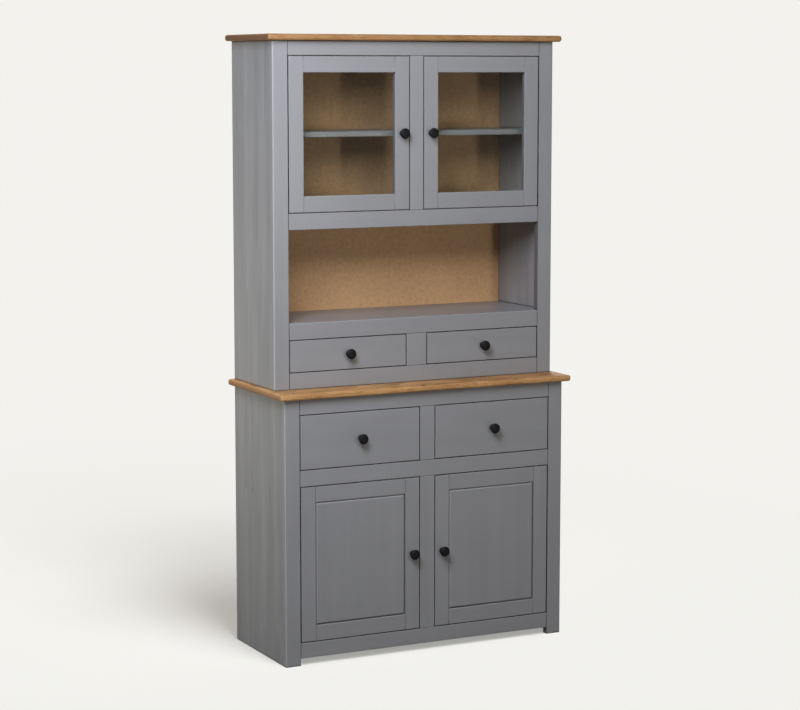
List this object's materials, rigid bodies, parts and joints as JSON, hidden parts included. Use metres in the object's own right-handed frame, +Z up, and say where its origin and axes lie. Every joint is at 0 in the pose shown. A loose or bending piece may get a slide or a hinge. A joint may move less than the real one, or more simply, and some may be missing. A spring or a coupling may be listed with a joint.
{
  "type": "storage cabinet",
  "caption": "Tall two-piece kitchen dresser: a glazed hutch with an open niche and small drawers on a buffet base with drawers and panelled doors, painted grey with waxed pine tops.",
  "frame": {"origin": "on the floor, under the middle of the whole piece's box", "axes": "+Z up, the doors face -Y, +X to the right of someone who faces the doors"},
  "size_m": [0.95, 0.39, 1.8],
  "materials": {
    "grey_paint": "satin grey paint on pine",
    "waxed_pine": "honey wax on knotty pine",
    "raw_pine": "planed, unfinished",
    "hardboard": "raw brown hardboard",
    "pane_glass": "clear float glass",
    "black_knob": "satin black lacquer",
    "zinc_steel": "bright zinc plate",
    "catch_plastic": "moulded, matt brown"
  },
  "bodies": {
    "carcass": {"base_side_left": "grey_paint", "base_side_right": "grey_paint", "base_stile_left": "grey_paint", "base_stile_right": "grey_paint", "base_top_rail": "grey_paint", "base_mid_rail": "grey_paint", "base_bottom_rail": "grey_paint", "base_muntins": "grey_paint", "base_floor": "grey_paint", "base_shelf": "grey_paint", "hutch_side_left": "grey_paint", "hutch_side_right": "grey_paint", "hutch_stile_left": "grey_paint", "hutch_stile_right": "grey_paint", "hutch_top_rail": "grey_paint", "hutch_mid_rail": "grey_paint", "hutch_shelf_rail": "grey_paint", "hutch_bottom_rail": "grey_paint", "hutch_muntins": "grey_paint", "hutch_cupboard_floor": "grey_paint", "hutch_shelf": "grey_paint", "hutch_niche_floor": "grey_paint", "countertop": "waxed_pine", "hutch_top_board": "waxed_pine", "base_drawer_floor": "raw_pine", "hutch_drawer_floor": "raw_pine", "drawer_guides": "raw_pine", "base_back": "hardboard", "hutch_back": "hardboard", "shelf_pins": "zinc_steel", "pivot_pins": "zinc_steel", "door_catches": "catch_plastic"},
    "base_door_left": {"base_door_left_frame": "grey_paint", "base_door_left_panel": "grey_paint", "base_door_left_knob": "black_knob"},
    "base_door_right": {"base_door_right_frame": "grey_paint", "base_door_right_panel": "grey_paint", "base_door_right_knob": "black_knob"},
    "base_drawer_left": {"base_drawer_left_front": "grey_paint", "base_drawer_left_box": "raw_pine", "base_drawer_left_bottom": "hardboard", "base_drawer_left_knob": "black_knob"},
    "base_drawer_right": {"base_drawer_right_front": "grey_paint", "base_drawer_right_box": "raw_pine", "base_drawer_right_bottom": "hardboard", "base_drawer_right_knob": "black_knob"},
    "hutch_door_left": {"hutch_door_left_frame": "grey_paint", "hutch_door_left_glass": "pane_glass", "hutch_door_left_knob": "black_knob"},
    "hutch_door_right": {"hutch_door_right_frame": "grey_paint", "hutch_door_right_glass": "pane_glass", "hutch_door_right_knob": "black_knob"},
    "hutch_drawer_left": {"hutch_drawer_left_front": "grey_paint", "hutch_drawer_left_box": "raw_pine", "hutch_drawer_left_bottom": "hardboard", "hutch_drawer_left_knob": "black_knob"},
    "hutch_drawer_right": {"hutch_drawer_right_front": "grey_paint", "hutch_drawer_right_box": "raw_pine", "hutch_drawer_right_bottom": "hardboard", "hutch_drawer_right_knob": "black_knob"}
  },
  "joints": [
    {"name": "base_door_left_hinge", "type": "hinge", "parent": "carcass", "child": "base_door_left", "pos_m": [-0.3965, -0.164, 0.2935], "axis": [0, 0, -1], "range_deg": [0, 110]},
    {"name": "base_door_right_hinge", "type": "hinge", "parent": "carcass", "child": "base_door_right", "pos_m": [0.3965, -0.164, 0.2935], "axis": [0, 0, 1], "range_deg": [0, 110]},
    {"name": "base_drawer_left_slide", "type": "slide", "parent": "carcass", "child": "base_drawer_left", "axis": [0, -1, 0], "range_m": [0, 0.24]},
    {"name": "base_drawer_right_slide", "type": "slide", "parent": "carcass", "child": "base_drawer_right", "axis": [0, -1, 0], "range_m": [0, 0.24]},
    {"name": "hutch_door_left_hinge", "type": "hinge", "parent": "carcass", "child": "hutch_door_left", "pos_m": [-0.3965, -0.094, 1.5175], "axis": [0, 0, -1], "range_deg": [0, 110]},
    {"name": "hutch_door_right_hinge", "type": "hinge", "parent": "carcass", "child": "hutch_door_right", "pos_m": [0.3965, -0.094, 1.5175], "axis": [0, 0, 1], "range_deg": [0, 110]},
    {"name": "hutch_drawer_left_slide", "type": "slide", "parent": "carcass", "child": "hutch_drawer_left", "axis": [0, -1, 0], "range_m": [0, 0.18]},
    {"name": "hutch_drawer_right_slide", "type": "slide", "parent": "carcass", "child": "hutch_drawer_right", "axis": [0, -1, 0], "range_m": [0, 0.18]}
  ]
}
